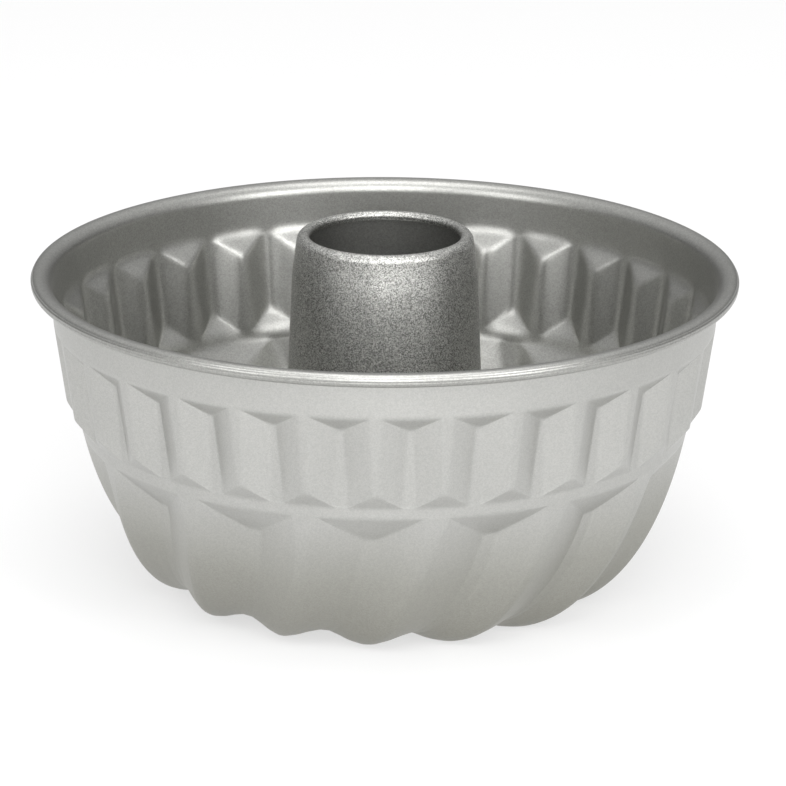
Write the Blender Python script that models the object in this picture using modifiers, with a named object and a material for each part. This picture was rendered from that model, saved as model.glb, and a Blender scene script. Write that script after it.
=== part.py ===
"""A fluted tube pan: a pressed sheet bowl with a rolled rim, the wire inside that rim, and a centre tube.

Metres, +Z up. The pan stands on Z = 0 and its axis is the Z axis. A section of the wall is a ring of points
given by the radius and height of its crests and of its valleys, as seen from outside and below.
"""

import math
from typing import NamedTuple

import bpy

# Driving dimensions
RIM_DIAMETER = 0.2500
BODY_HEIGHT = 0.1148
SHEET = 0.0006
CLEARANCE = 0.0003
WIRE_DIAMETER = 0.0029
FLUTES = 15
RIBS_PER_FLUTE = 2

# Rolled rim
RIM_NECK = 0.00295
RIM_SHOULDER_RADIUS = 0.0042
RIM_LIP_GAP = 0.0007
CURL_STEPS = 6
SHOULDER_STEPS = 3

# Plain collar and upright ribs, from the rim downwards
COLLAR_DEPTH = 0.0177
COLLAR_DRAFT = 0.0009
RIB_DEPTH = 0.0054
RIB_TOP_SLOPE = 0.0058
RIB_TOP_ROUND = 0.0006
RIB_LENGTH = 0.0288
RIB_DRAFT = 0.0042
RIB_STEP = 0.0048
RIB_FOOT_SLOPE = 0.0057
RIB_CREST_WIDTH_TOP = 0.0038
RIB_CREST_WIDTH_FOOT = 0.0020
RIB_VALLEY_WIDTH_TOP = 0.0016
RIB_VALLEY_WIDTH_FOOT = 0.0048

# Ledge and leaning flutes
LEDGE_HEIGHT = 0.0041
LEDGE_DRAFT = 0.0005
FLUTE_TOP_DEPTH = 0.0096
FLUTE_TOP_SLOPE = 0.0108
FLUTE_TOP_ROUND = 0.0006
FLUTE_CREST_WIDTH_TOP = 0.0088
FLUTE_CREST_WIDTH_FOOT = 0.0023
FLUTE_CREST_TAPER = 12
FLUTE_SIDE_SLOPE = 2.2
FLUTE_ROUNDNESS = 0.75
FLUTE_ROUNDING = 2.4
FLUTE_TURN_TOP = math.radians(-1.0)
FLUTE_TURN = math.radians(-18.0)
FLUTE_TURN_GAIN = 1.23
FLUTE_UPPER_LEAN = 0.21
FLUTE_UPPER_REACH = 0.70
FLUTE_FOOT_REACH = 0.395
FIRST_CREST = math.radians(-13.5)
FLUTE_STEPS = 7
FLUTE_STEP_GAIN = 1.25

# Feet: the lowest stretch of each flute's crest
FOOT_RADIUS = 0.0632
FOOT_LENGTH = 0.0078
FOOT_ARCH = 0.0042

# Bottom inside the feet, up to the hub that holds the tube
HUB_HEIGHT = 0.0100
HUB_WIDTH = 0.0035
HUB_BEND = 0.0012
HUB_FLANGE = 0.0042
BOTTOM_STEPS = 3

# Centre tube
TUBE_FOOT_RADIUS = 0.0372
TUBE_NECK_RADIUS = 0.0328
TUBE_NECK_DEPTH = 0.0145
TUBE_SHOULDER_RADIUS = 0.0313
TUBE_SHOULDER_ROUND = 0.0028
TUBE_RISE = 0.0134
TUBE_SHEET = 0.0005
TUBE_LIP_WIDTH = 0.0046
TUBE_HEM_HEIGHT = 0.0034
TUBE_SIDES = 36


class Section(NamedTuple):
    """One ring of the bowl: crest and valley as (radius, height), and stations as (angle, share of depth)."""

    crest: tuple
    valley: tuple
    stations: list
    turn: float = 0.0


FLUTE_PITCH = math.tau / FLUTES
RIB_PITCH = FLUTE_PITCH / RIBS_PER_FLUTE
CURL_RADIUS = WIRE_DIAMETER / 2 + CLEARANCE
CURL_CENTRE = (RIM_DIAMETER / 2 - SHEET - CURL_RADIUS, BODY_HEIGHT - SHEET - CURL_RADIUS)
COLLAR_RADIUS = CURL_CENTRE[0] - CURL_RADIUS - RIM_NECK
RIB_TOP = (COLLAR_RADIUS - COLLAR_DRAFT, BODY_HEIGHT - COLLAR_DEPTH)
RIB_FOOT = (RIB_TOP[0] - RIB_DRAFT, RIB_TOP[1] - RIB_LENGTH)
LEDGE_TOP = (RIB_FOOT[0] - RIB_STEP, RIB_FOOT[1] - RIB_FOOT_SLOPE)
LEDGE = (LEDGE_TOP[0] - LEDGE_DRAFT, LEDGE_TOP[1] - LEDGE_HEIGHT)
FLANGE_RADIUS = TUBE_FOOT_RADIUS + CLEARANCE + SHEET
TUBE_TOP = BODY_HEIGHT + TUBE_RISE


def arc(centre, radius, start, end, steps):
    """Points from one angle to the other, in degrees from the direction away from the axis."""
    angles = [math.radians(start + (end - start) * i / steps) for i in range(steps + 1)]
    return [(centre[0] + radius * math.cos(a), centre[1] + radius * math.sin(a)) for a in angles]


def bezier(a, b, c, d, t):
    """The point at t on the cubic curve from a to d, drawn towards b and c."""
    s = 1 - t
    weights = (s**3, 3 * s * s * t, 3 * s * t * t, t**3)
    return tuple(sum(w * p[i] for w, p in zip(weights, (a, b, c, d))) for i in (0, 1))


def even_stations():
    """Stations at equal angles, two to a rib, for rings that are plain circles."""
    return [(i * RIB_PITCH / 2, 0.0) for i in range(2 * RIBS_PER_FLUTE)]


def rib_stations(radius, crest_width, valley_width):
    """The two edges of each crest and of each valley, over one flute."""
    crest = crest_width / 2 / radius
    valley = valley_width / 2 / radius
    edges = [(-crest, 0.0), (crest, 0.0), (RIB_PITCH / 2 - valley, 1.0), (RIB_PITCH / 2 + valley, 1.0)]
    return [(angle + rib * RIB_PITCH, share) for rib in range(RIBS_PER_FLUTE) for angle, share in edges]


def flute_stations(radius, crest_width, down):
    """The two edges of a flute's crest, then the hollow: flat-sided at the top, rounded lower down."""
    roundness = FLUTE_ROUNDNESS * min(1.0, FLUTE_ROUNDING * down)
    crest = crest_width / 2 / radius
    count = 4 * RIBS_PER_FLUTE - 1
    stations = [(-crest, 0.0)]
    for i in range(count):
        t = i / count
        flat = min(1.0, FLUTE_SIDE_SLOPE * min(t, 1 - t))
        rounded = math.sin(math.pi * t) ** (1 + down * down)
        stations.append((crest + t * (FLUTE_PITCH - 2 * crest), flat + roundness * (rounded - flat)))
    return stations


def circle(point, stations, turn=0.0):
    return Section(point, point, stations, turn)


def rim_sections():
    """From the end of the curl, round the wire, over the top and down to the collar."""
    shoulder = RIM_SHOULDER_RADIUS
    crown = CURL_CENTRE[1] + CURL_RADIUS
    lip_end = (COLLAR_RADIUS + RIM_LIP_GAP, CURL_CENTRE[1] - CURL_RADIUS)
    profile = [lip_end]
    profile += arc(CURL_CENTRE, CURL_RADIUS, -90, 90, CURL_STEPS)
    profile += arc((COLLAR_RADIUS + shoulder, crown - shoulder), shoulder, 90, 180, SHOULDER_STEPS)
    return [circle(point, even_stations()) for point in profile]


def rib_sections():
    """The collar's lower edge, the ribs and the ledge below them."""
    top = rib_stations(RIB_TOP[0], RIB_CREST_WIDTH_TOP, RIB_VALLEY_WIDTH_TOP)
    foot = rib_stations(RIB_FOOT[0], RIB_CREST_WIDTH_FOOT, RIB_VALLEY_WIDTH_FOOT)
    crest_top = (RIB_TOP[0] - RIB_TOP_ROUND * RIB_DRAFT / RIB_LENGTH, RIB_TOP[1] - RIB_TOP_ROUND)
    valley_top = (RIB_TOP[0] - RIB_DEPTH, RIB_TOP[1] - RIB_TOP_SLOPE)
    valley_foot = (LEDGE_TOP[0], LEDGE_TOP[1] + RIB_TOP_ROUND)
    return [
        circle(RIB_TOP, top),
        Section(crest_top, valley_top, top),
        Section(RIB_FOOT, valley_foot, foot),
        circle(LEDGE_TOP, foot),
        circle(LEDGE, flute_stations(LEDGE[0], FLUTE_CREST_WIDTH_TOP, 0), FLUTE_TURN_TOP),
    ]


def flute_sections():
    """From under the ledge down to the feet, leaning as they go."""
    crest_start = (LEDGE[0] - FLUTE_TOP_ROUND / 4, LEDGE[1] - FLUTE_TOP_ROUND)
    valley_start = (LEDGE[0] - FLUTE_TOP_DEPTH, LEDGE[1] - FLUTE_TOP_SLOPE)
    crest_end = (FOOT_RADIUS + FOOT_LENGTH / 2, 0.0)
    valley_end = (FOOT_RADIUS + FOOT_LENGTH / 2, FOOT_ARCH)
    sections = []
    for i in range(FLUTE_STEPS + 1):
        t = (i / FLUTE_STEPS) ** FLUTE_STEP_GAIN
        crest = leaning(crest_start, crest_end, t)
        valley = leaning(valley_start, valley_end, t)
        taper = (1 - t) ** FLUTE_CREST_TAPER
        width = FLUTE_CREST_WIDTH_FOOT + taper * (FLUTE_CREST_WIDTH_TOP - FLUTE_CREST_WIDTH_FOOT)
        stations = flute_stations(crest[0], width, t)
        turn = FLUTE_TURN_TOP + (FLUTE_TURN - FLUTE_TURN_TOP) * t**FLUTE_TURN_GAIN
        sections.append(Section(crest, valley, stations, turn))
    return sections


def leaning(start, end, t):
    """A line down the wall: nearly straight at first, then rounding in to run level at the feet."""
    drop = start[1] - end[1]
    run = start[0] - end[0]
    straight = (start[0] - FLUTE_UPPER_LEAN * run, start[1] - FLUTE_UPPER_REACH * drop)
    level = (end[0] + FLUTE_FOOT_REACH * run, end[1])
    return bezier(start, straight, level, end, t)


def bottom_sections():
    """From the feet in to the hub, and down its short flange."""
    inner = FOOT_RADIUS - FOOT_LENGTH / 2
    hub = (FLANGE_RADIUS + HUB_BEND + HUB_WIDTH, HUB_HEIGHT)
    sections = []
    for i in range(BOTTOM_STEPS):
        t = i / BOTTOM_STEPS
        crest = bottom_point((inner, 0.0), hub, t)
        valley = bottom_point((inner, FOOT_ARCH), hub, t)
        stations = flute_stations(FOOT_RADIUS, FLUTE_CREST_WIDTH_FOOT, 1.0)
        sections.append(Section(crest, valley, stations, FLUTE_TURN * (1.05 + 0.25 * t)))
    bend = arc((FLANGE_RADIUS + HUB_BEND, HUB_HEIGHT - HUB_BEND), HUB_BEND, 90, 180, 2)
    profile = [hub, *bend, (FLANGE_RADIUS, HUB_HEIGHT - HUB_FLANGE)]
    sections += [circle(point, even_stations(), FLUTE_TURN * 1.3) for point in profile]
    return sections


def bottom_point(start, hub, t):
    """A line across the bottom: level at the feet and nearly level again at the hub."""
    run = start[0] - hub[0]
    return bezier(start, (start[0] - run / 3, start[1]), (hub[0] + run / 3, hub[1]), hub, t)


def ring_of(section):
    """The section's points in order round the pan."""
    points = []
    for flute in range(FLUTES):
        for angle, share in section.stations:
            radius = section.crest[0] + share * (section.valley[0] - section.crest[0])
            height = section.crest[1] + share * (section.valley[1] - section.crest[1])
            a = FIRST_CREST + angle + flute * FLUTE_PITCH + section.turn
            points.append((radius * math.sin(a), -radius * math.cos(a), height))
    return points


def share_at(section, column):
    return section.stations[column % len(section.stations)][1]


def band(upper, upper_start, lower, lower_start):
    """Triangles between two rings. Each pair is split from the upper crest to the lower valley."""
    count = FLUTES * len(lower.stations)
    faces = []
    for i in range(count):
        j = (i + 1) % count
        a, b = upper_start + i, upper_start + j
        d, c = lower_start + i, lower_start + j
        if share_at(lower, i) < share_at(lower, j):
            faces += [(d, c, a), (c, b, a)]
        else:
            faces += [(d, c, b), (d, b, a)]
    return faces


def fan_band(single, single_start, double, double_start, double_below):
    """Triangles between a plain ring and one with two points for each of its points."""
    count = FLUTES * len(single.stations)
    faces = []
    for i in range(count):
        s, t = single_start + i, single_start + (i + 1) % count
        p, q = double_start + 2 * i, double_start + 2 * i + 1
        r = double_start + (2 * i + 2) % (2 * count)
        found = [(p, q, s), (q, t, s), (q, r, t)]
        faces += found if double_below else [face[::-1] for face in found]
    return faces


def loft(name, sections):
    """An open surface through the sections, first to last."""
    points = []
    starts = []
    for section in sections:
        starts.append(len(points))
        points += ring_of(section)
    faces = []
    for i in range(len(sections) - 1):
        upper, lower = sections[i], sections[i + 1]
        if len(upper.stations) == len(lower.stations):
            faces += band(upper, starts[i], lower, starts[i + 1])
        elif len(upper.stations) < len(lower.stations):
            faces += fan_band(upper, starts[i], lower, starts[i + 1], True)
        else:
            faces += fan_band(lower, starts[i + 1], upper, starts[i], False)
    mesh = bpy.data.meshes.new(name)
    mesh.from_pydata(points, [], faces)
    mesh.update()
    return mesh


def material(name, colour, metallic, roughness):
    made = bpy.data.materials.new(name)
    made.use_nodes = True
    shader = made.node_tree.nodes["Principled BSDF"]
    shader.inputs["Base Color"].default_value = (*colour, 1)
    shader.inputs["Metallic"].default_value = metallic
    shader.inputs["Roughness"].default_value = roughness
    return made


def add_object(mesh, collection, finish):
    made = bpy.data.objects.new(mesh.name, mesh)
    made.data.materials.append(finish)
    collection.objects.link(made)
    return made


def thicken(piece, sheet):
    """Gives an open surface its sheet thickness, on the side away from its normals."""
    solidify = piece.modifiers.new("Sheet", "SOLIDIFY")
    solidify.thickness = sheet
    solidify.offset = -1
    solidify.use_even_offset = True
    solidify.use_quality_normals = True


def shade(mesh):
    mesh.shade_smooth()
    mesh.set_sharp_from_angle(angle=math.radians(28))


def make_bowl(collection):
    sections = rim_sections() + rib_sections() + flute_sections() + bottom_sections()
    mesh = loft("fluted_bowl", sections)
    shade(mesh)
    bowl = add_object(mesh, collection, material("coated_sheet", (0.42, 0.42, 0.40), 0.9, 0.42))
    thicken(bowl, SHEET)
    return bowl


def make_rim_wire(collection):
    bpy.ops.mesh.primitive_torus_add(
        major_radius=CURL_CENTRE[0],
        minor_radius=WIRE_DIAMETER / 2,
        major_segments=4 * FLUTES,
        minor_segments=6,
        location=(0, 0, CURL_CENTRE[1]),
    )
    wire = bpy.context.object
    wire.name = "rim_wire"
    wire.data.name = "rim_wire"
    for owner in wire.users_collection:
        owner.objects.unlink(wire)
    collection.objects.link(wire)
    wire.data.materials.append(material("steel_wire", (0.55, 0.55, 0.55), 1.0, 0.35))
    shade(wire.data)
    return wire


def tube_profile():
    """From the hem's inner edge over the lip, down the wall and round the bowl's flange."""
    hem = TUBE_HEM_HEIGHT / 2
    hem_centre = (TUBE_SHOULDER_RADIUS - TUBE_LIP_WIDTH + hem, TUBE_TOP - hem)
    bend = TUBE_SHOULDER_ROUND
    profile = [(hem_centre[0] + hem, hem_centre[1] - hem)]
    profile += arc(hem_centre, hem, 270, 90, 4)
    profile += arc((TUBE_SHOULDER_RADIUS - bend, TUBE_TOP - bend), bend, 70, 0, 3)
    profile.append((TUBE_NECK_RADIUS, TUBE_TOP - TUBE_NECK_DEPTH))
    hook = SHEET / 2 + CLEARANCE
    hook_centre = (TUBE_FOOT_RADIUS + hook, HUB_HEIGHT - HUB_FLANGE)
    profile += arc(hook_centre, hook, 180, 360, 4)
    profile.append((hook_centre[0] + hook, HUB_HEIGHT - HUB_BEND - TUBE_SHEET - CLEARANCE))
    return profile


def make_tube(collection):
    profile = tube_profile()
    mesh = bpy.data.meshes.new("centre_tube")
    edges = [(i, i + 1) for i in range(len(profile) - 1)]
    mesh.from_pydata([(radius, 0, height) for radius, height in profile], edges, [])
    tube = add_object(mesh, collection, material("coated_tube", (0.30, 0.30, 0.29), 0.9, 0.40))
    screw = tube.modifiers.new("Turned", "SCREW")
    screw.steps = TUBE_SIDES
    screw.render_steps = TUBE_SIDES
    screw.use_merge_vertices = True
    screw.merge_threshold = 0.00005
    screw.use_smooth_shade = True
    thicken(tube, TUBE_SHEET)
    return tube


def main():
    for old in list(bpy.data.objects):
        bpy.data.objects.remove(old)
    collection = bpy.data.collections.new("Fluted tube pan")
    bpy.context.scene.collection.children.link(collection)
    make_bowl(collection)
    make_rim_wire(collection)
    make_tube(collection)


main()
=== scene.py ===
"""The looks of the fluted tube pan: the pressed bowl with rounded creases, its rim wire and its centre tube,
with flaked coatings, on a white floor. Metres, +Z up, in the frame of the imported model."""

import math

import bpy
import numpy as np
from mathutils import Matrix, Vector


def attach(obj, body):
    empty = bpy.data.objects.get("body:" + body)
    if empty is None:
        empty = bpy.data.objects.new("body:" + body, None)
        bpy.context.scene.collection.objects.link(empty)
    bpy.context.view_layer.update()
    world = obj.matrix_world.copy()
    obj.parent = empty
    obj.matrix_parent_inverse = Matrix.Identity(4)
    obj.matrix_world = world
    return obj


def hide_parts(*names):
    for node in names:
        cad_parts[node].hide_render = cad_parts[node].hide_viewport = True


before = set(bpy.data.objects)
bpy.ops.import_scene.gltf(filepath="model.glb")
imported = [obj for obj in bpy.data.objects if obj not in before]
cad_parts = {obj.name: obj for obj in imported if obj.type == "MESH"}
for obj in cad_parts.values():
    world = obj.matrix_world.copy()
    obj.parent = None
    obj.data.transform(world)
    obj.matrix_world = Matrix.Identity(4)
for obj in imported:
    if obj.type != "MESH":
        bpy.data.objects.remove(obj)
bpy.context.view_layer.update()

# Sizes that the part's source gives
RIM_DIAMETER = 0.2500
BODY_HEIGHT = 0.1148
SHEET = 0.0006
CLEARANCE = 0.0003
WIRE_DIAMETER = 0.0029
FLUTES = 15
RIBS_PER_FLUTE = 2
RIM_NECK = 0.00295
RIM_SHOULDER_RADIUS = 0.0042
RIM_LIP_GAP = 0.0007
COLLAR_DEPTH = 0.0177
COLLAR_DRAFT = 0.0009
RIB_DEPTH = 0.0054
RIB_TOP_SLOPE = 0.0058
RIB_TOP_ROUND = 0.0006
RIB_LENGTH = 0.0288
RIB_DRAFT = 0.0042
RIB_STEP = 0.0048
RIB_FOOT_SLOPE = 0.0057
RIB_CREST_WIDTH_TOP = 0.0038
RIB_CREST_WIDTH_FOOT = 0.0020
RIB_VALLEY_WIDTH_TOP = 0.0016
RIB_VALLEY_WIDTH_FOOT = 0.0048
LEDGE_HEIGHT = 0.0041
LEDGE_DRAFT = 0.0005
FLUTE_TOP_DEPTH = 0.0096
FLUTE_TOP_SLOPE = 0.0108
FLUTE_TOP_ROUND = 0.0006
FLUTE_CREST_WIDTH_TOP = 0.0088
FLUTE_CREST_WIDTH_FOOT = 0.0023
FLUTE_CREST_TAPER = 12
FLUTE_SIDE_SLOPE = 2.2
FLUTE_ROUNDNESS = 0.75
FLUTE_ROUNDING = 2.4
FLUTE_TURN_TOP = math.radians(-1.0)
FLUTE_TURN = math.radians(-18.0)
FLUTE_TURN_GAIN = 1.23
FLUTE_UPPER_LEAN = 0.21
FLUTE_UPPER_REACH = 0.70
FLUTE_FOOT_REACH = 0.395
FIRST_CREST = math.radians(-13.5)
FLUTE_STEP_GAIN = 1.25
FOOT_RADIUS = 0.0632
FOOT_LENGTH = 0.0078
FOOT_ARCH = 0.0042
HUB_HEIGHT = 0.0100
HUB_WIDTH = 0.0035
HUB_BEND = 0.0012
HUB_FLANGE = 0.0042
TUBE_FOOT_RADIUS = 0.0372
TUBE_NECK_RADIUS = 0.0328
TUBE_NECK_DEPTH = 0.0145
TUBE_SHOULDER_RADIUS = 0.0313
TUBE_SHOULDER_ROUND = 0.0028
TUBE_RISE = 0.0134
TUBE_SHEET = 0.0005
TUBE_LIP_WIDTH = 0.0046
TUBE_HEM_HEIGHT = 0.0034

# Across the bottom the flutes' creases turn on, to this share of the flutes' own turn
HUB_TURN_START = 1.05
HUB_TURN_END = 1.30

# How the pressed sheet rounds its creases, seen from outside and from inside
OUTER_CREASE = 0.00038
INNER_CREASE = 0.0015
# The blur that rounds a crease reaches this many times its own width to either side
BLUR_REACH = 4
# The curl is drawn in by this, so that the round rim stays inside the solids' faceted one
RIM_INSET = 0.00004
# Two fine grooves run round the rim, at these degrees above its outermost line
RIM_GROOVE_DEPTH = 0.00028
RIM_GROOVE_ANGLES = (-7, 30)
RIM_GROOVE_SPREAD = 7

# Fineness of the visible meshes. Strides are how many fine rows apart a mesh's rows stand, near an edge and
# elsewhere.
COLUMNS_PER_FLUTE = 84
FINE_COLUMNS_PER_FLUTE = 168
FINE_ROW = 0.0003
EDGE_REACH = 0.0024
OUTER_STRIDES = (2, 4)
INNER_STRIDES = (4, 8)
HIDDEN_CURL_STEPS = 12
CURL_STEPS = 45
SHOULDER_STEPS = 10
BEND_STEPS = 6
FLUTE_RINGS = 24
BOTTOM_RINGS = 8
HEM_STEPS = 14
LIP_STEPS = 12
NECK_RINGS = 3
TUBE_RINGS = 12
HOOK_STEPS = 10
TUBE_SIDES = 160
WIRE_STEPS = 24
WIRE_SIDES = 240
SHARP_ANGLE = math.radians(50)

# The coatings. tones: dark, middle and light flakes, as linear red, green and blue. spread: the share of the
# flakes' random values that the tones are laid over, so a smaller one sets the flakes further apart in tone.
# flake: the width of one. roughness: from the glossiest flake to the dullest. bump: the relief's height.
OUTSIDE_COATING = {
    "tones": ((0.45, 0.45, 0.434), (0.49, 0.49, 0.472), (0.53, 0.53, 0.51)),
    "spread": 0.8,
    "flake": 0.0004,
    "roughness": (0.40, 0.46),
    "bump": 0.000004,
}
INSIDE_COATING = {
    "tones": ((0.315, 0.315, 0.30), (0.385, 0.385, 0.368), (0.455, 0.455, 0.437)),
    "spread": 0.9,
    "flake": 0.0004,
    "roughness": (0.34, 0.43),
    "bump": 0.000007,
}
TUBE_COATING = {
    "tones": ((0.16, 0.16, 0.152), (0.375, 0.375, 0.358), (0.70, 0.70, 0.67)),
    "spread": 0.5,
    "flake": 0.00027,
    "roughness": (0.37, 0.49),
    "bump": 0.00005,
}
BORE_COATING = {
    "tones": ((0.31, 0.31, 0.297), (0.38, 0.38, 0.365), (0.45, 0.45, 0.432)),
    "spread": 0.8,
    "flake": 0.0004,
    "roughness": (0.40, 0.46),
    "bump": 0.000006,
}
# Painted shade: the outside is darkened and warmed towards its foot, standing in for the shadowed floor that
# the lower wall reflects. Tones by metres above the floor
OUTSIDE_PAINTED_FOOT_SHADE = ((0.004, (0.62, 0.61, 0.565)), (0.030, (0.77, 0.765, 0.73)), (0.055, (1.0, 1.0, 1.0)))
# Finer flakes lie between the flakes, as a share of their width and with a share of the tone
FINE_FLAKE = 0.45
FINE_SHARE = 0.35
# The relief's width, as a share of a flake's, and its detail
BUMP_CLOUD = 0.9
BUMP_DETAIL = 2.0
# Broad, faint clouds in every coating
BROAD_CLOUD = 0.03
BROAD_TONES = [(0.3, (0.96, 0.96, 0.96)), (0.7, (1.0, 1.0, 1.0))]
CLOUD_DETAIL = 3.0
# The wire's fine grain
WIRE_GRAIN = 0.0004
WIRE_TONES = [(0.3, (0.40, 0.40, 0.41)), (0.7, (0.58, 0.58, 0.58))]
WIRE_ROUGHNESS = (0.25, 0.45)

# The floor lights the pan with its own colour. Rays that see it as the background meet a darker colour and a
# glow, so that it shows white with a faint shadow.
FLOOR_WIDTH = 24.0
FLOOR_COLOUR = (0.785, 0.785, 0.785)
FLOOR_SEEN_COLOUR = (0.32, 0.32, 0.32)
FLOOR_LIFT = 0.62
# The tent's grey by degrees above the horizon
TENT_TONES = ((0, 0.02), (22, 0.50), (50, 0.87), (90, 0.60))
# Soft boxes: name, degrees round the pan (-90 is the front), degrees up, distance, size, and watts
LAMPS = (
    ("low_front_box", -90, 14, 2.4, (1.2, 1.2), 19.2),
    ("high_front_box", -90, 42, 1.8, (0.7, 0.6), 9.0),
    ("overhead_box", -90, 89.9, 1.8, (1.2, 1.2), 13.5),
    ("left_front_box", -136, 25, 1.8, (0.7, 1.2), 9.6),
    ("right_front_box", -48, 25, 1.8, (0.7, 1.2), 14.8),
)

# The camera, from a fit to the photograph's outline
VIEW_DISTANCE = 1.784
VIEW_HEIGHT_ANGLE = math.radians(16.39)
VIEW_FOCAL_PIXELS = 5051
VIEW_PIXELS = 786
VIEW_PITCH = -0.0245
VIEW_YAW = -0.0017
VIEW_ROLL = -0.0047
VIEW_CLIP = (0.01, 100)
SENSOR = 36

# The colour sockets of Blender's Mix node go by number, because several of its sockets share a name
MIX_FACTOR = 0
MIX_FIRST = 6
MIX_SECOND = 7
MIX_RESULT = 2

FLUTE_PITCH = math.tau / FLUTES
RIB_PITCH = FLUTE_PITCH / RIBS_PER_FLUTE
CURL_RADIUS = WIRE_DIAMETER / 2 + CLEARANCE
CURL_CENTRE = (RIM_DIAMETER / 2 - SHEET - CURL_RADIUS, BODY_HEIGHT - SHEET - CURL_RADIUS)
COLLAR_RADIUS = CURL_CENTRE[0] - CURL_RADIUS - RIM_NECK
RIB_TOP = (COLLAR_RADIUS - COLLAR_DRAFT, BODY_HEIGHT - COLLAR_DEPTH)
RIB_FOOT = (RIB_TOP[0] - RIB_DRAFT, RIB_TOP[1] - RIB_LENGTH)
LEDGE_TOP = (RIB_FOOT[0] - RIB_STEP, RIB_FOOT[1] - RIB_FOOT_SLOPE)
LEDGE = (LEDGE_TOP[0] - LEDGE_DRAFT, LEDGE_TOP[1] - LEDGE_HEIGHT)
FLANGE_RADIUS = TUBE_FOOT_RADIUS + CLEARANCE + SHEET
TUBE_TOP = BODY_HEIGHT + TUBE_RISE


def on_circle(centre, radius, degrees):
    """The point on a circle at that angle, counted from the direction away from the axis."""
    angle = math.radians(degrees)
    return (centre[0] + radius * math.cos(angle), centre[1] + radius * math.sin(angle))


def arc(centre, radius, start, end, steps):
    """Points on a circle from one angle to the other."""
    return [on_circle(centre, radius, start + (end - start) * i / steps) for i in range(steps + 1)]


def line(start, end, steps):
    """Points after the start, evenly along the straight line to the end."""
    shares = [i / steps for i in range(1, steps + 1)]
    return [(start[0] + t * (end[0] - start[0]), start[1] + t * (end[1] - start[1])) for t in shares]


def bezier(a, b, c, d, t):
    """The point at t on the cubic curve from a to d, drawn towards b and c."""
    s = 1 - t
    weights = (s**3, 3 * s * s * t, 3 * s * t * t, t**3)
    return tuple(sum(w * p[i] for w, p in zip(weights, (a, b, c, d))) for i in (0, 1))


def rib_stations(radius, crest_width, valley_width):
    """The two edges of each crest and of each valley, over one flute."""
    crest = crest_width / 2 / radius
    valley = valley_width / 2 / radius
    edges = [(-crest, 0.0), (crest, 0.0), (RIB_PITCH / 2 - valley, 1.0), (RIB_PITCH / 2 + valley, 1.0)]
    return [(angle + rib * RIB_PITCH, share) for rib in range(RIBS_PER_FLUTE) for angle, share in edges]


def flute_stations(radius, crest_width, down):
    """The two edges of a flute's crest, then the hollow: flat-sided at the top, rounded lower down."""
    roundness = FLUTE_ROUNDNESS * min(1.0, FLUTE_ROUNDING * down)
    crest = crest_width / 2 / radius
    count = 4 * RIBS_PER_FLUTE - 1
    stations = [(-crest, 0.0)]
    for i in range(count):
        t = i / count
        flat = min(1.0, FLUTE_SIDE_SLOPE * min(t, 1 - t))
        rounded = math.sin(math.pi * t) ** (1 + down * down)
        stations.append((crest + t * (FLUTE_PITCH - 2 * crest), flat + roundness * (rounded - flat)))
    return stations


def section(crest, valley, stations, turn=0.0):
    """One ring over one flute: the angle, radius and height of its stations, and how far it is turned."""
    angle = np.array([a for a, _ in stations]) + FIRST_CREST + turn
    share = np.array([s for _, s in stations])
    radius = crest[0] + share * (valley[0] - crest[0])
    height = crest[1] + share * (valley[1] - crest[1])
    return {"angle": angle, "radius": radius, "height": height, "share": share, "turn": turn}


def leaning(start, end, t):
    """A line down the wall: nearly straight at first, then rounding in to run level at the feet."""
    drop = start[1] - end[1]
    run = start[0] - end[0]
    straight = (start[0] - FLUTE_UPPER_LEAN * run, start[1] - FLUTE_UPPER_REACH * drop)
    level = (end[0] + FLUTE_FOOT_REACH * run, end[1])
    return bezier(start, straight, level, end, t)


def bottom_point(start, hub, t):
    """A line across the bottom: level at the feet and nearly level again at the hub."""
    run = start[0] - hub[0]
    return bezier(start, (start[0] - run / 3, start[1]), (hub[0] + run / 3, hub[1]), hub, t)


def rib_sections():
    """The collar's lower edge, the ribs and the ledge below them."""
    top = rib_stations(RIB_TOP[0], RIB_CREST_WIDTH_TOP, RIB_VALLEY_WIDTH_TOP)
    foot = rib_stations(RIB_FOOT[0], RIB_CREST_WIDTH_FOOT, RIB_VALLEY_WIDTH_FOOT)
    crest_top = (RIB_TOP[0] - RIB_TOP_ROUND * RIB_DRAFT / RIB_LENGTH, RIB_TOP[1] - RIB_TOP_ROUND)
    valley_top = (RIB_TOP[0] - RIB_DEPTH, RIB_TOP[1] - RIB_TOP_SLOPE)
    valley_foot = (LEDGE_TOP[0], LEDGE_TOP[1] + RIB_TOP_ROUND)
    ledge = flute_stations(LEDGE[0], FLUTE_CREST_WIDTH_TOP, 0)
    return [
        section(RIB_TOP, RIB_TOP, top),
        section(crest_top, valley_top, top),
        section(RIB_FOOT, valley_foot, foot),
        section(LEDGE_TOP, LEDGE_TOP, foot),
        section(LEDGE, LEDGE, ledge, FLUTE_TURN_TOP),
    ]


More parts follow.
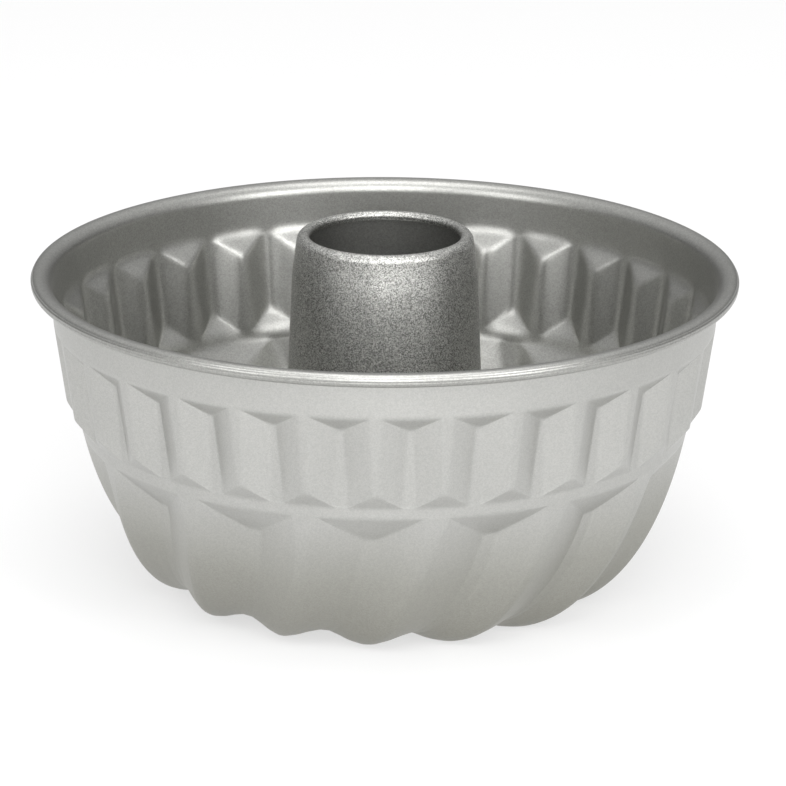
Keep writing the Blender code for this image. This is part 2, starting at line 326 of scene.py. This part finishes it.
def flute_sections():
    """From under the ledge down to the feet, leaning as they go."""
    crest_start = (LEDGE[0] - FLUTE_TOP_ROUND / 4, LEDGE[1] - FLUTE_TOP_ROUND)
    valley_start = (LEDGE[0] - FLUTE_TOP_DEPTH, LEDGE[1] - FLUTE_TOP_SLOPE)
    crest_end = (FOOT_RADIUS + FOOT_LENGTH / 2, 0.0)
    valley_end = (FOOT_RADIUS + FOOT_LENGTH / 2, FOOT_ARCH)
    sections = []
    for i in range(FLUTE_RINGS + 1):
        t = (i / FLUTE_RINGS) ** FLUTE_STEP_GAIN
        crest = leaning(crest_start, crest_end, t)
        valley = leaning(valley_start, valley_end, t)
        taper = (1 - t) ** FLUTE_CREST_TAPER
        width = FLUTE_CREST_WIDTH_FOOT + taper * (FLUTE_CREST_WIDTH_TOP - FLUTE_CREST_WIDTH_FOOT)
        stations = flute_stations(crest[0], width, t)
        turn = FLUTE_TURN_TOP + (FLUTE_TURN - FLUTE_TURN_TOP) * t**FLUTE_TURN_GAIN
        sections.append(section(crest, valley, stations, turn))
    return sections


def bottom_sections():
    """From the feet in to the hub's edge."""
    inner = FOOT_RADIUS - FOOT_LENGTH / 2
    hub = (FLANGE_RADIUS + HUB_BEND + HUB_WIDTH, HUB_HEIGHT)
    stations = flute_stations(FOOT_RADIUS, FLUTE_CREST_WIDTH_FOOT, 1.0)
    sections = []
    for i in range(BOTTOM_RINGS):
        t = i / BOTTOM_RINGS
        crest = bottom_point((inner, 0.0), hub, t)
        valley = bottom_point((inner, FOOT_ARCH), hub, t)
        turn = FLUTE_TURN * (HUB_TURN_START + t * (HUB_TURN_END - HUB_TURN_START))
        sections.append(section(crest, valley, stations, turn))
    sections.append(section(hub, hub, stations, FLUTE_TURN * HUB_TURN_END))
    return sections


def row_between(upper, lower, f, angles):
    """Radius and height at even angles on the faceted band, the share f of the way down.

    Each facet is two triangles, so the row bends at the stations and where it crosses the facet's diagonal.
    """
    count = len(upper["angle"])
    knots = {"angle": [], "radius": [], "height": []}
    for i in range(count):
        j = (i + 1) % count
        wrap = FLUTE_PITCH if j == 0 else 0.0
        falls = lower["share"][i] < lower["share"][j]
        for key, values in knots.items():
            step = wrap if key == "angle" else 0.0
            a, b = upper[key][i], upper[key][j] + step
            d, c = lower[key][i], lower[key][j] + step
            values.append(a + f * (d - a))
            values.append(a + f * (c - a) if falls else b + f * (d - b))
    return [np.interp(angles, knots["angle"], knots[key], period=FLUTE_PITCH) for key in ("radius", "height")]


def smooth_round(values, sigma):
    """Blurs each row round one flute, by sigma columns."""
    count = values.shape[1]
    wave = np.fft.rfftfreq(count)
    gain = np.exp(-2 * (np.pi * wave[None, :] * sigma[:, None]) ** 2)
    return np.fft.irfft(np.fft.rfft(values, axis=1) * gain, count, axis=1)


def smooth_down(values, sigma):
    """Blurs down the rows, by sigma rows, with both end rows held."""
    reach = int(BLUR_REACH * sigma) + 1
    kernel = np.exp(-0.5 * (np.arange(-reach, reach + 1) / sigma) ** 2)
    kernel /= kernel.sum()
    # The rows are mirrored through both end rows, which keeps those where they are
    above = 2 * values[:1] - values[reach:0:-1]
    below = 2 * values[-1:] - values[-2 : -reach - 2 : -1]
    padded = np.concatenate([above, values, below])
    out = np.zeros_like(values)
    for k, weight in enumerate(kernel):
        out += weight * padded[k : k + len(values)]
    return out


def wall_sections():
    """Every ring of the wall, from under the rim to the hub, and before which one the sharp edges end."""
    collar_top = (COLLAR_RADIUS, CURL_CENTRE[1] + CURL_RADIUS - RIM_SHOULDER_RADIUS)
    plain = rib_stations(RIB_TOP[0], RIB_CREST_WIDTH_TOP, RIB_VALLEY_WIDTH_TOP)
    edges = [section(collar_top, collar_top, plain)] + rib_sections()
    return edges + flute_sections() + bottom_sections(), len(edges) + 1


def fine_wall(crease):
    """The wall over one flute in fine rows, with every crease rounded over that length.

    The columns turn with the flutes. Returns radius, height, turn and nearness to an edge for each row.
    """
    sections, edges_end = wall_sections()
    angles = FIRST_CREST + np.arange(FINE_COLUMNS_PER_FLUTE) * FLUTE_PITCH / FINE_COLUMNS_PER_FLUTE
    radius, height, turn, edges = [], [], [], []
    for number, (upper, lower) in enumerate(zip(sections, sections[1:])):
        if 0 < number < edges_end:
            edges.append(len(radius))
        fall = np.hypot(lower["radius"] - upper["radius"], lower["height"] - upper["height"])
        steps = max(1, round(float(fall.mean()) / FINE_ROW))
        is_last = number == len(sections) - 2
        for k in range(steps + 1 if is_last else steps):
            turn.append(upper["turn"] + k / steps * (lower["turn"] - upper["turn"]))
            r, z = row_between(upper, lower, k / steps, angles + turn[-1])
            radius.append(r)
            height.append(z)
    radius = np.array(radius)
    height = np.array(height)
    columns = crease / (radius.mean(axis=1) * FLUTE_PITCH / FINE_COLUMNS_PER_FLUTE)
    rows = crease / FINE_ROW
    radius = smooth_down(smooth_round(radius, columns), rows)
    height = smooth_down(smooth_round(height, columns), rows)
    distance = np.abs(np.arange(len(turn))[:, None] - np.array(edges)[None, :]).min(axis=1)
    return radius, height, np.array(turn), distance * FINE_ROW < EDGE_REACH


def wall_rows(crease, strides):
    """The rows of the fine wall that the mesh keeps: close together near the edges, wider apart elsewhere."""
    radius, height, turn, near = fine_wall(crease)
    close, wide = strides
    last = len(turn) - 1
    kept = [k for k in range(last) if k % wide == 0 or (near[k] and k % close == 0)] + [last]
    step = FINE_COLUMNS_PER_FLUTE // COLUMNS_PER_FLUTE
    return radius[kept, ::step], height[kept, ::step], turn[kept]


def curl(steps, grooves):
    """The rolled rim from its underside to its top, with fine grooves round it at those angles."""
    points = []
    for angle in np.linspace(-90, 90, steps + 1):
        dip = sum(math.exp(-(((angle - groove) / RIM_GROOVE_SPREAD) ** 2)) for groove in grooves)
        points.append(on_circle(CURL_CENTRE, CURL_RADIUS - RIM_INSET - RIM_GROOVE_DEPTH * dip, angle))
    return points


def around(radius, height, angle):
    """Points in space at those radii, heights and angles round the axis, counted from the front."""
    return np.stack([radius * np.sin(angle), -radius * np.cos(angle), height], axis=-1)


def plain_rows(points, axis):
    """The radius (axis 0) or the height (axis 1) of plain rings, over the columns of one flute."""
    return np.outer([point[axis] for point in points], np.ones(COLUMNS_PER_FLUTE))


def bowl_points(crease, strides, curled):
    """Points of the bowl's outer side in rows round the pan, from the given curl to the hub's flange."""
    crown = CURL_CENTRE[1] + CURL_RADIUS
    shoulder = RIM_SHOULDER_RADIUS
    rim = [(COLLAR_RADIUS + RIM_LIP_GAP, CURL_CENTRE[1] - CURL_RADIUS)]
    rim += curled
    rim += arc((COLLAR_RADIUS + shoulder, crown - shoulder), shoulder, 90, 180, SHOULDER_STEPS)[:-1]
    hub = arc((FLANGE_RADIUS + HUB_BEND, HUB_HEIGHT - HUB_BEND), HUB_BEND, 90, 180, BEND_STEPS)
    hub.append((FLANGE_RADIUS, HUB_HEIGHT - HUB_FLANGE))
    radius, height, turn = wall_rows(crease, strides)
    radius = np.concatenate([plain_rows(rim, 0), radius, plain_rows(hub, 0)])
    height = np.concatenate([plain_rows(rim, 1), height, plain_rows(hub, 1)])
    turn = np.concatenate([np.zeros(len(rim)), turn, np.full(len(hub), turn[-1])])
    columns = COLUMNS_PER_FLUTE * FLUTES
    angle = FIRST_CREST + np.arange(columns) * math.tau / columns + turn[:, None]
    return around(np.tile(radius, (1, FLUTES)), np.tile(height, (1, FLUTES)), angle)


def moved_in(points, depth):
    """The same rows moved through the sheet, to its other side."""
    down = np.gradient(points, axis=0)
    across = np.roll(points, -1, axis=1) - np.roll(points, 1, axis=1)
    normal = np.cross(across, down)
    return points + depth * normal / np.linalg.norm(normal, axis=-1, keepdims=True)


def grid_mesh(name, points, closed=False):
    """Quads through rows of points round the axis, outer side first; closed joins the last row on again."""
    rows, columns, _ = points.shape
    index = np.arange(rows * columns).reshape(rows, columns)
    if closed:
        index = np.concatenate([index, index[:1]])
    after = np.roll(index, -1, axis=1)
    faces = np.stack([index[1:], after[1:], after[:-1], index[:-1]], axis=-1).reshape(-1, 4)
    mesh = bpy.data.meshes.new(name)
    mesh.from_pydata(points.reshape(-1, 3).tolist(), [], faces.tolist())
    mesh.shade_smooth()
    mesh.set_sharp_from_angle(angle=SHARP_ANGLE)
    return mesh


def turned(profile, columns):
    """Points of a profile of (radius, height) turned about the axis."""
    even = np.ones(columns)
    angle = np.arange(columns) * math.tau / columns
    return around(np.outer([r for r, _ in profile], even), np.outer([z for _, z in profile], even), angle)


def add_piece(mesh, node, finishes):
    """The mesh as a piece of the pan that stands for that node."""
    piece = bpy.data.objects.new(mesh.name, mesh)
    bpy.context.scene.collection.objects.link(piece)
    for finish in finishes:
        mesh.materials.append(finish)
    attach(piece, "root")
    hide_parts(node)
    return piece


def make_bowl(outside, inside):
    """The bowl as one closed sheet, with a softer inner side and a coating for each side.

    The rim curls outwards, so what shows of the curl is the inner side of the sheet.
    """
    outer = bowl_points(OUTER_CREASE, OUTER_STRIDES, curl(HIDDEN_CURL_STEPS, ()))
    inner = moved_in(bowl_points(INNER_CREASE, INNER_STRIDES, curl(CURL_STEPS, RIM_GROOVE_ANGLES)), SHEET)
    mesh = grid_mesh("bowl_sheet", np.concatenate([outer, inner[::-1]]), closed=True)
    add_piece(mesh, "fluted_bowl", (outside, inside))
    on_inner = np.arange(len(mesh.polygons)) >= (len(outer) - 1) * outer.shape[1]
    mesh.polygons.foreach_set("material_index", on_inner.astype(np.int32))
    mesh.update()


def make_wire(finish):
    """The round wire that the rim is curled round."""
    profile = arc(CURL_CENTRE, WIRE_DIAMETER / 2, 0, 360, WIRE_STEPS)[:-1]
    mesh = grid_mesh("rim_wire_ring", turned(profile, WIRE_SIDES), closed=True)
    add_piece(mesh, "rim_wire", (finish,))


def tube_profile():
    """From the hem's inner edge over the lip, down the wall and round the bowl's flange."""
    hem = TUBE_HEM_HEIGHT / 2
    hem_centre = (TUBE_SHOULDER_RADIUS - TUBE_LIP_WIDTH + hem, TUBE_TOP - hem)
    bend = TUBE_SHOULDER_ROUND
    shoulder = (TUBE_SHOULDER_RADIUS, TUBE_TOP - bend)
    neck = (TUBE_NECK_RADIUS, TUBE_TOP - TUBE_NECK_DEPTH)
    hook = SHEET / 2 + CLEARANCE
    hook_centre = (TUBE_FOOT_RADIUS + hook, HUB_HEIGHT - HUB_FLANGE)
    profile = [(hem_centre[0] + hem, hem_centre[1] - hem)]
    profile += arc(hem_centre, hem, 270, 90, HEM_STEPS)
    profile += arc((TUBE_SHOULDER_RADIUS - bend, TUBE_TOP - bend), bend, 90, 0, LIP_STEPS)
    profile += line(shoulder, neck, NECK_RINGS)
    profile += line(neck, (TUBE_FOOT_RADIUS, hook_centre[1]), TUBE_RINGS)[:-1]
    profile += arc(hook_centre, hook, 180, 360, HOOK_STEPS)
    profile.append((hook_centre[0] + hook, HUB_HEIGHT - HUB_BEND - TUBE_SHEET - CLEARANCE))
    return profile


def make_tube(outside, bore):
    """The tube as a sheet with its thickness on the side away from the cake, hem and hook rolled from it."""
    mesh = grid_mesh("tube_sheet", turned(tube_profile(), TUBE_SIDES))
    tube = add_piece(mesh, "centre_tube", (outside, bore))
    solidify = tube.modifiers.new("Sheet", "SOLIDIFY")
    solidify.thickness = TUBE_SHEET
    solidify.offset = -1
    solidify.use_even_offset = True
    solidify.use_quality_normals = True
    solidify.material_offset = 1


def new_material(name):
    """A material with its node tree, its shader and the place on the object."""
    made = bpy.data.materials.new(name)
    made.use_nodes = True
    tree = made.node_tree
    shader = tree.nodes["Principled BSDF"]
    place = tree.nodes.new("ShaderNodeTexCoord").outputs["Object"]
    return made, tree, shader, place


def ramp(tree, source, stops):
    """A colour ramp with (position, colour) stops."""
    node = tree.nodes.new("ShaderNodeValToRGB")
    tree.links.new(source, node.inputs["Fac"])
    elements = node.color_ramp.elements
    while len(elements) < len(stops):
        elements.new(0.5)
    for element, (position, colour) in zip(elements, stops):
        element.position = position
        element.color = (*colour, 1)
    return node.outputs["Color"]


def math_node(tree, operation, first, second):
    """The result of that operation on two values, each a number or a socket."""
    node = tree.nodes.new("ShaderNodeMath")
    node.operation = operation
    for socket, value in zip(node.inputs, (first, second)):
        if isinstance(value, (int, float)):
            socket.default_value = value
        else:
            tree.links.new(value, socket)
    return node.outputs[0]


def mix_colour(tree, blend, factor, first, second):
    """Two colours blended, each a colour or a socket, with the factor a number or a socket."""
    node = tree.nodes.new("ShaderNodeMix")
    node.data_type = "RGBA"
    node.blend_type = blend
    for number, value in ((MIX_FACTOR, factor), (MIX_FIRST, first), (MIX_SECOND, second)):
        socket = node.inputs[number]
        if isinstance(value, (int, float)):
            socket.default_value = value
        elif isinstance(value, tuple):
            socket.default_value = (*value, 1)
        else:
            tree.links.new(value, socket)
    return node.outputs[MIX_RESULT]


def cells(tree, place, size):
    """Cells of about that size, one flake each, with a random colour for each."""
    node = tree.nodes.new("ShaderNodeTexVoronoi")
    node.inputs["Scale"].default_value = 1 / size
    tree.links.new(place, node.inputs["Vector"])
    return node.outputs["Color"]


def cloud(tree, place, size, detail):
    """Soft grey noise of about that size."""
    node = tree.nodes.new("ShaderNodeTexNoise")
    node.inputs["Scale"].default_value = 1 / size
    node.inputs["Detail"].default_value = detail
    tree.links.new(place, node.inputs["Vector"])
    return node.outputs["Fac"]


def channels(tree, colour):
    """The three channels of a colour, as values."""
    node = tree.nodes.new("ShaderNodeSeparateColor")
    tree.links.new(colour, node.inputs[0])
    return node.outputs


def spanned(tree, value, low, high):
    """A value from 0 to 1 laid over the span from low to high."""
    return math_node(tree, "ADD", math_node(tree, "MULTIPLY", value, high - low), low)


def mixed(tree, first, second, share):
    """Two values added, the second with that share."""
    scaled = [math_node(tree, "MULTIPLY", v, w) for v, w in ((first, 1 - share), (second, share))]
    return math_node(tree, "ADD", *scaled)


def paint_shade_by_height(tree, place, colour, tones):
    """The colour multiplied by tones that stand at heights in metres: painted shade, darker towards the foot.
    """
    height = tree.nodes.new("ShaderNodeSeparateXYZ")
    tree.links.new(place, height.inputs[0])
    share = math_node(tree, "DIVIDE", height.outputs["Z"], BODY_HEIGHT)
    stops = [(metres / BODY_HEIGHT, tone) for metres, tone in tones]
    return mix_colour(tree, "MULTIPLY", 1.0, colour, ramp(tree, share, stops))


def flaked_coating(name, tones, spread, flake, roughness, bump, painted_foot_shade=None):
    """A baked coating full of metal flakes, each with its own tone and gloss, in a fine relief.

    The last argument holds (metres above the floor, tone) pairs that the colour is multiplied with: painted
    shade, darker towards the foot.
    """
    made, tree, shader, place = new_material(name)
    parts = channels(tree, cells(tree, place, flake))
    fine = channels(tree, cells(tree, place, flake * FINE_FLAKE))
    tone = mixed(tree, parts[0], fine[0], FINE_SHARE)
    dark, middle, light = tones
    colour = ramp(tree, tone, [(0.5 - spread / 2, dark), (0.5, middle), (0.5 + spread / 2, light)])
    broad = ramp(tree, cloud(tree, place, BROAD_CLOUD, CLOUD_DETAIL), BROAD_TONES)
    colour = mix_colour(tree, "MULTIPLY", 1.0, colour, broad)
    # Painted shade: the colour is darkened and warmed towards the foot
    if painted_foot_shade:
        colour = paint_shade_by_height(tree, place, colour, painted_foot_shade)
    tree.links.new(colour, shader.inputs["Base Color"])
    tree.links.new(spanned(tree, parts[1], *roughness), shader.inputs["Roughness"])
    shader.inputs["Metallic"].default_value = 1.0
    relief = tree.nodes.new("ShaderNodeBump")
    relief.inputs["Strength"].default_value = 1.0
    relief.inputs["Distance"].default_value = bump
    tree.links.new(cloud(tree, place, flake * BUMP_CLOUD, BUMP_DETAIL), relief.inputs["Height"])
    tree.links.new(relief.outputs["Normal"], shader.inputs["Normal"])
    return made


def drawn_wire(name):
    """Bright drawn steel with fine grain."""
    made, tree, shader, place = new_material(name)
    grain = cloud(tree, place, WIRE_GRAIN, CLOUD_DETAIL)
    tree.links.new(ramp(tree, grain, WIRE_TONES), shader.inputs["Base Color"])
    tree.links.new(spanned(tree, grain, *WIRE_ROUGHNESS), shader.inputs["Roughness"])
    shader.inputs["Metallic"].default_value = 1.0
    return made


def rays_that_see(tree):
    """1 for camera, glossy and transmission rays, which see the floor as the white background that it is."""
    path = tree.nodes.new("ShaderNodeLightPath")
    seen = math_node(tree, "MAXIMUM", path.outputs["Is Camera Ray"], path.outputs["Is Glossy Ray"])
    return math_node(tree, "MAXIMUM", seen, path.outputs["Is Transmission Ray"])


def make_floor():
    """A wide white floor that shows as a white background and keeps the pan's shadow."""
    half = FLOOR_WIDTH / 2
    corners = [(-half, -half, 0), (half, -half, 0), (half, half, 0), (-half, half, 0)]
    mesh = bpy.data.meshes.new("floor_sheet")
    mesh.from_pydata(corners, [], [(0, 1, 2, 3)])
    floor = bpy.data.objects.new("floor_sheet", mesh)
    bpy.context.scene.collection.objects.link(floor)
    made = bpy.data.materials.new("white_floor")
    made.use_nodes = True
    tree = made.node_tree
    tree.nodes.clear()
    diffuse = tree.nodes.new("ShaderNodeBsdfDiffuse")
    seen = rays_that_see(tree)
    tree.links.new(mix_colour(tree, "MIX", seen, FLOOR_COLOUR, FLOOR_SEEN_COLOUR), diffuse.inputs["Color"])
    glow = tree.nodes.new("ShaderNodeEmission")
    tree.links.new(math_node(tree, "MULTIPLY", seen, FLOOR_LIFT), glow.inputs["Strength"])
    both = tree.nodes.new("ShaderNodeAddShader")
    tree.links.new(diffuse.outputs[0], both.inputs[0])
    tree.links.new(glow.outputs[0], both.inputs[1])
    out = tree.nodes.new("ShaderNodeOutputMaterial")
    tree.links.new(both.outputs[0], out.inputs["Surface"])
    floor.data.materials.append(made)


def make_world():
    """A studio tent that is dim at the horizon and pale overhead."""
    world = bpy.data.worlds.new("studio_tent")
    bpy.context.scene.world = world
    world.use_nodes = True
    tree = world.node_tree
    tree.nodes.clear()
    way = tree.nodes.new("ShaderNodeTexCoord").outputs["Generated"]
    parts = tree.nodes.new("ShaderNodeSeparateXYZ")
    tree.links.new(way, parts.inputs[0])
    stops = [(math.sin(math.radians(up)), (grey, grey, grey)) for up, grey in TENT_TONES]
    light = tree.nodes.new("ShaderNodeBackground")
    tree.links.new(ramp(tree, parts.outputs["Z"], stops), light.inputs["Color"])
    out = tree.nodes.new("ShaderNodeOutputWorld")
    tree.links.new(light.outputs[0], out.inputs["Surface"])


def add_lamp(name, azimuth, elevation, distance, size, power):
    """A soft box at that place round the pan, in degrees and metres, turned to the pan's middle."""
    turn = math.radians(azimuth)
    rise = math.radians(elevation)
    level = math.cos(rise)
    way = Vector((level * math.cos(turn), level * math.sin(turn), math.sin(rise)))
    data = bpy.data.lights.new(name, "AREA")
    data.shape = "RECTANGLE"
    data.size, data.size_y = size
    data.energy = power
    lamp = bpy.data.objects.new(name, data)
    bpy.context.scene.collection.objects.link(lamp)
    lamp.location = Vector((0, 0, BODY_HEIGHT / 2)) + distance * way
    lamp.rotation_euler = (-way).to_track_quat("-Z", "Y").to_euler()


def make_camera():
    """The camera that looks at the pan's axis at the rim's height, with the photograph's small turns."""
    back = math.cos(VIEW_HEIGHT_ANGLE)
    place = VIEW_DISTANCE * Vector((0, -back, math.sin(VIEW_HEIGHT_ANGLE)))
    forward = -place.normalized()
    right = Vector((1, 0, 0))
    axes = [forward, right, right.cross(forward)]
    for number, angle in ((2, VIEW_YAW), (1, VIEW_PITCH), (0, VIEW_ROLL)):
        turn = Matrix.Rotation(angle, 3, axes[number])
        axes = [turn @ axis for axis in axes]
    forward, right, up = axes
    matrix = Matrix((right, up, -forward)).transposed().to_4x4()
    matrix.translation = place + Vector((0, 0, BODY_HEIGHT))
    data = bpy.data.cameras.new("view")
    data.sensor_width = SENSOR
    data.lens = VIEW_FOCAL_PIXELS / VIEW_PIXELS * SENSOR
    data.clip_start, data.clip_end = VIEW_CLIP
    camera = bpy.data.objects.new("view", data)
    bpy.context.scene.collection.objects.link(camera)
    camera.matrix_world = matrix
    bpy.context.scene.camera = camera


def main():
    # The outside coating carries painted shade, darker and browner towards the foot
    outside = flaked_coating("outside_coating_painted_shade", **OUTSIDE_COATING, painted_foot_shade=OUTSIDE_PAINTED_FOOT_SHADE)
    inside = flaked_coating("inside_coating", **INSIDE_COATING)
    make_bowl(outside, inside)
    make_wire(drawn_wire("wire_steel"))
    tube = flaked_coating("tube_coating", **TUBE_COATING)
    bore = flaked_coating("bore_coating", **BORE_COATING)
    make_tube(tube, bore)
    make_floor()
    make_world()
    for lamp in LAMPS:
        add_lamp(*lamp)
    make_camera()
    bpy.context.scene.view_settings.view_transform = "Standard"


main()
